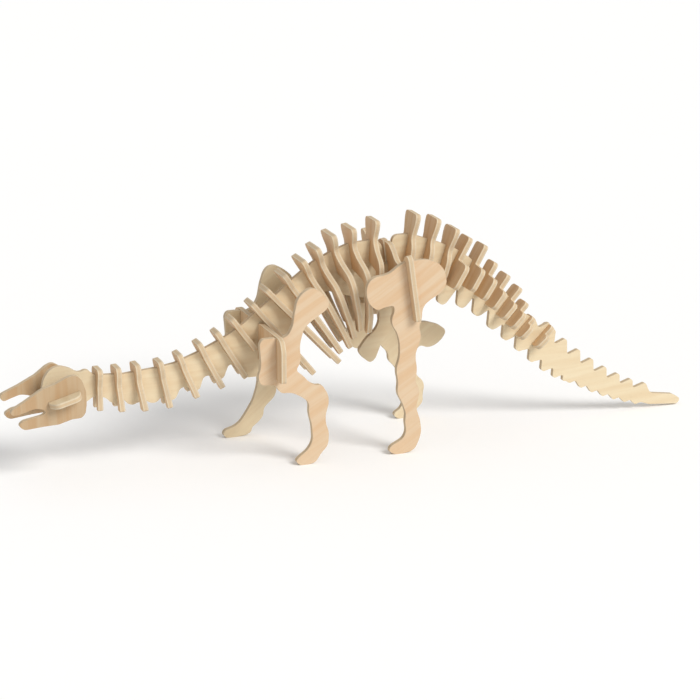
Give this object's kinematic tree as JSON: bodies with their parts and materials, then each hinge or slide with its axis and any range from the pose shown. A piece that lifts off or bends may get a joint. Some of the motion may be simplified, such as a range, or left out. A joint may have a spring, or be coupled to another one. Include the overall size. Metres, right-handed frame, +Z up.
{
  "type": "wooden 3d jigsaw model",
  "caption": "Slot-together plywood skeleton of a long-necked dinosaur standing on four legs, with cross plates for ribs and vertebrae pushed into slots along its back.",
  "frame": {"origin": "centre of the underside, on the floor midway between nose and tail tip, in the plane of the backbone", "axes": "+Z up, -X towards the head, +X towards the tail, -Y to the animal's left side"},
  "size_m": [0.3901, 0.079, 0.1253],
  "materials": {
    "plywood_backbone": "matte",
    "plywood_cross": "matte",
    "plywood_leg": "matte",
    "plywood_head": "matte"
  },
  "bodies": {
    "frame": {"front_backbone": "plywood_backbone", "tail_backbone": "plywood_backbone"},
    "front_girdle": {"front_girdle": "plywood_cross"},
    "rear_girdle": {"rear_girdle": "plywood_cross"},
    "front_leg_left": {"front_leg_left": "plywood_leg"},
    "front_leg_right": {"front_leg_right": "plywood_leg"},
    "rear_leg_left": {"rear_leg_left": "plywood_leg"},
    "rear_leg_right": {"rear_leg_right": "plywood_leg"},
    "cheek": {"cheek_plate": "plywood_head"},
    "jaw_left": {"jaw_left": "plywood_head"},
    "jaw_right": {"jaw_right": "plywood_head"},
    "rib_pair_1": {"rib_pair_1": "plywood_cross"},
    "rib_pair_2": {"rib_pair_2": "plywood_cross"},
    "rib_pair_3": {"rib_pair_3": "plywood_cross"},
    "rib_pair_4": {"rib_pair_4": "plywood_cross"},
    "rib_pair_5": {"rib_pair_5": "plywood_cross"},
    "rib_pair_6": {"rib_pair_6": "plywood_cross"},
    "rib_pair_7": {"rib_pair_7": "plywood_cross"},
    "rib_pair_8": {"rib_pair_8": "plywood_cross"},
    "sacral_vertebra_1": {"sacral_vertebra_1": "plywood_cross"},
    "sacral_vertebra_2": {"sacral_vertebra_2": "plywood_cross"},
    "sacral_vertebra_3": {"sacral_vertebra_3": "plywood_cross"},
    "tail_vertebra_1": {"tail_vertebra_1": "plywood_cross"},
    "tail_vertebra_2": {"tail_vertebra_2": "plywood_cross"},
    "tail_vertebra_3": {"tail_vertebra_3": "plywood_cross"},
    "tail_vertebra_4": {"tail_vertebra_4": "plywood_cross"},
    "tail_vertebra_5": {"tail_vertebra_5": "plywood_cross"},
    "tail_vertebra_6": {"tail_vertebra_6": "plywood_cross"},
    "tail_vertebra_7": {"tail_vertebra_7": "plywood_cross"},
    "tail_vertebra_8": {"tail_vertebra_8": "plywood_cross"},
    "neck_vertebra_1": {"neck_vertebra_1": "plywood_cross"},
    "neck_vertebra_2": {"neck_vertebra_2": "plywood_cross"},
    "neck_vertebra_3": {"neck_vertebra_3": "plywood_cross"},
    "neck_vertebra_4": {"neck_vertebra_4": "plywood_cross"},
    "neck_vertebra_5": {"neck_vertebra_5": "plywood_cross"},
    "neck_vertebra_6": {"neck_vertebra_6": "plywood_cross"},
    "neck_vertebra_7": {"neck_vertebra_7": "plywood_cross"},
    "neck_vertebra_8": {"neck_vertebra_8": "plywood_cross"}
  },
  "joints": [
    {"name": "front_girdle_slide", "type": "slide", "parent": "frame", "child": "front_girdle", "axis": [0, 0, -1], "range_m": [0, 0.034]},
    {"name": "rear_girdle_slide", "type": "slide", "parent": "frame", "child": "rear_girdle", "axis": [0.1392, 0, -0.9903], "range_m": [0, 0.032]},
    {"name": "front_leg_left_slide", "type": "slide", "parent": "front_girdle", "child": "front_leg_left", "axis": [0, 0, -1], "range_m": [0, 0.03]},
    {"name": "front_leg_right_slide", "type": "slide", "parent": "front_girdle", "child": "front_leg_right", "axis": [0, 0, -1], "range_m": [0, 0.03]},
    {"name": "rear_leg_left_slide", "type": "slide", "parent": "rear_girdle", "child": "rear_leg_left", "axis": [0.1392, 0, -0.9903], "range_m": [0, 0.042]},
    {"name": "rear_leg_right_slide", "type": "slide", "parent": "rear_girdle", "child": "rear_leg_right", "axis": [0.1392, 0, -0.9903], "range_m": [0, 0.042]},
    {"name": "cheek_slide", "type": "slide", "parent": "frame", "child": "cheek", "axis": [-0.9636, 0, -0.2672], "range_m": [0, 0.022]},
    {"name": "jaw_left_slide", "type": "slide", "parent": "cheek", "child": "jaw_left", "axis": [0, -1, 0], "range_m": [0, 0.013]},
    {"name": "jaw_right_slide", "type": "slide", "parent": "cheek", "child": "jaw_right", "axis": [0, 1, 0], "range_m": [0, 0.013]},
    {"name": "rib_pair_1_slide", "type": "slide", "parent": "frame", "child": "rib_pair_1", "axis": [-0.6361, 0, 0.7716], "range_m": [0, 0.054]},
    {"name": "rib_pair_2_slide", "type": "slide", "parent": "frame", "child": "rib_pair_2", "axis": [-0.682, 0, 0.7314], "range_m": [0, 0.06]},
    {"name": "rib_pair_3_slide", "type": "slide", "parent": "frame", "child": "rib_pair_3", "axis": [-0.5736, 0, 0.8192], "range_m": [0, 0.056]},
    {"name": "rib_pair_4_slide", "type": "slide", "parent": "frame", "child": "rib_pair_4", "axis": [-0.4695, 0, 0.8829], "range_m": [0, 0.057]},
    {"name": "rib_pair_5_slide", "type": "slide", "parent": "frame", "child": "rib_pair_5", "axis": [-0.3746, 0, 0.9272], "range_m": [0, 0.055]},
    {"name": "rib_pair_6_slide", "type": "slide", "parent": "frame", "child": "rib_pair_6", "axis": [-0.2588, 0, 0.9659], "range_m": [0, 0.055]},
    {"name": "rib_pair_7_slide", "type": "slide", "parent": "frame", "child": "rib_pair_7", "axis": [-0.1219, 0, 0.9925], "range_m": [0, 0.057]},
    {"name": "rib_pair_8_slide", "type": "slide", "parent": "frame", "child": "rib_pair_8", "axis": [0.061, 0, 0.9981], "range_m": [0, 0.05]},
    {"name": "sacral_vertebra_1_slide", "type": "slide", "parent": "frame", "child": "sacral_vertebra_1", "axis": [0.1736, 0, 0.9848], "range_m": [0, 0.026]},
    {"name": "sacral_vertebra_2_slide", "type": "slide", "parent": "frame", "child": "sacral_vertebra_2", "axis": [0.2419, 0, 0.9703], "range_m": [0, 0.026]},
    {"name": "sacral_vertebra_3_slide", "type": "slide", "parent": "frame", "child": "sacral_vertebra_3", "axis": [0.309, 0, 0.9511], "range_m": [0, 0.022]},
    {"name": "tail_vertebra_1_slide", "type": "slide", "parent": "frame", "child": "tail_vertebra_1", "axis": [0.4848, 0, 0.8746], "range_m": [0, 0.029]},
    {"name": "tail_vertebra_2_slide", "type": "slide", "parent": "frame", "child": "tail_vertebra_2", "axis": [0.4848, 0, 0.8746], "range_m": [0, 0.026]},
    {"name": "tail_vertebra_3_slide", "type": "slide", "parent": "frame", "child": "tail_vertebra_3", "axis": [0.5225, 0, 0.8526], "range_m": [0, 0.021]},
    {"name": "tail_vertebra_4_slide", "type": "slide", "parent": "frame", "child": "tail_vertebra_4", "axis": [0.5878, 0, 0.809], "range_m": [0, 0.021]},
    {"name": "tail_vertebra_5_slide", "type": "slide", "parent": "frame", "child": "tail_vertebra_5", "axis": [0.6561, 0, 0.7547], "range_m": [0, 0.02]},
    {"name": "tail_vertebra_6_slide", "type": "slide", "parent": "frame", "child": "tail_vertebra_6", "axis": [0.682, 0, 0.7314], "range_m": [0, 0.017]},
    {"name": "tail_vertebra_7_slide", "type": "slide", "parent": "frame", "child": "tail_vertebra_7", "axis": [0.7071, 0, 0.7071], "range_m": [0, 0.014]},
    {"name": "tail_vertebra_8_slide", "type": "slide", "parent": "frame", "child": "tail_vertebra_8", "axis": [0.7193, 0, 0.6947], "range_m": [0, 0.015]},
    {"name": "neck_vertebra_1_slide", "type": "slide", "parent": "frame", "child": "neck_vertebra_1", "axis": [0, 0, 1], "range_m": [0, 0.022]},
    {"name": "neck_vertebra_2_slide", "type": "slide", "parent": "frame", "child": "neck_vertebra_2", "axis": [-0.0523, 0, 0.9986], "range_m": [0, 0.022]},
    {"name": "neck_vertebra_3_slide", "type": "slide", "parent": "frame", "child": "neck_vertebra_3", "axis": [-0.1045, 0, 0.9945], "range_m": [0, 0.023]},
    {"name": "neck_vertebra_4_slide", "type": "slide", "parent": "frame", "child": "neck_vertebra_4", "axis": [-0.1908, 0, 0.9816], "range_m": [0, 0.025]},
    {"name": "neck_vertebra_5_slide", "type": "slide", "parent": "frame", "child": "neck_vertebra_5", "axis": [-0.342, 0, 0.9397], "range_m": [0, 0.024]},
    {"name": "neck_vertebra_6_slide", "type": "slide", "parent": "frame", "child": "neck_vertebra_6", "axis": [-0.4384, 0, 0.8988], "range_m": [0, 0.027]},
    {"name": "neck_vertebra_7_slide", "type": "slide", "parent": "frame", "child": "neck_vertebra_7", "axis": [-0.515, 0, 0.8572], "range_m": [0, 0.03]},
    {"name": "neck_vertebra_8_slide", "type": "slide", "parent": "frame", "child": "neck_vertebra_8", "axis": [-0.5878, 0, 0.809], "range_m": [0, 0.021]}
  ]
}
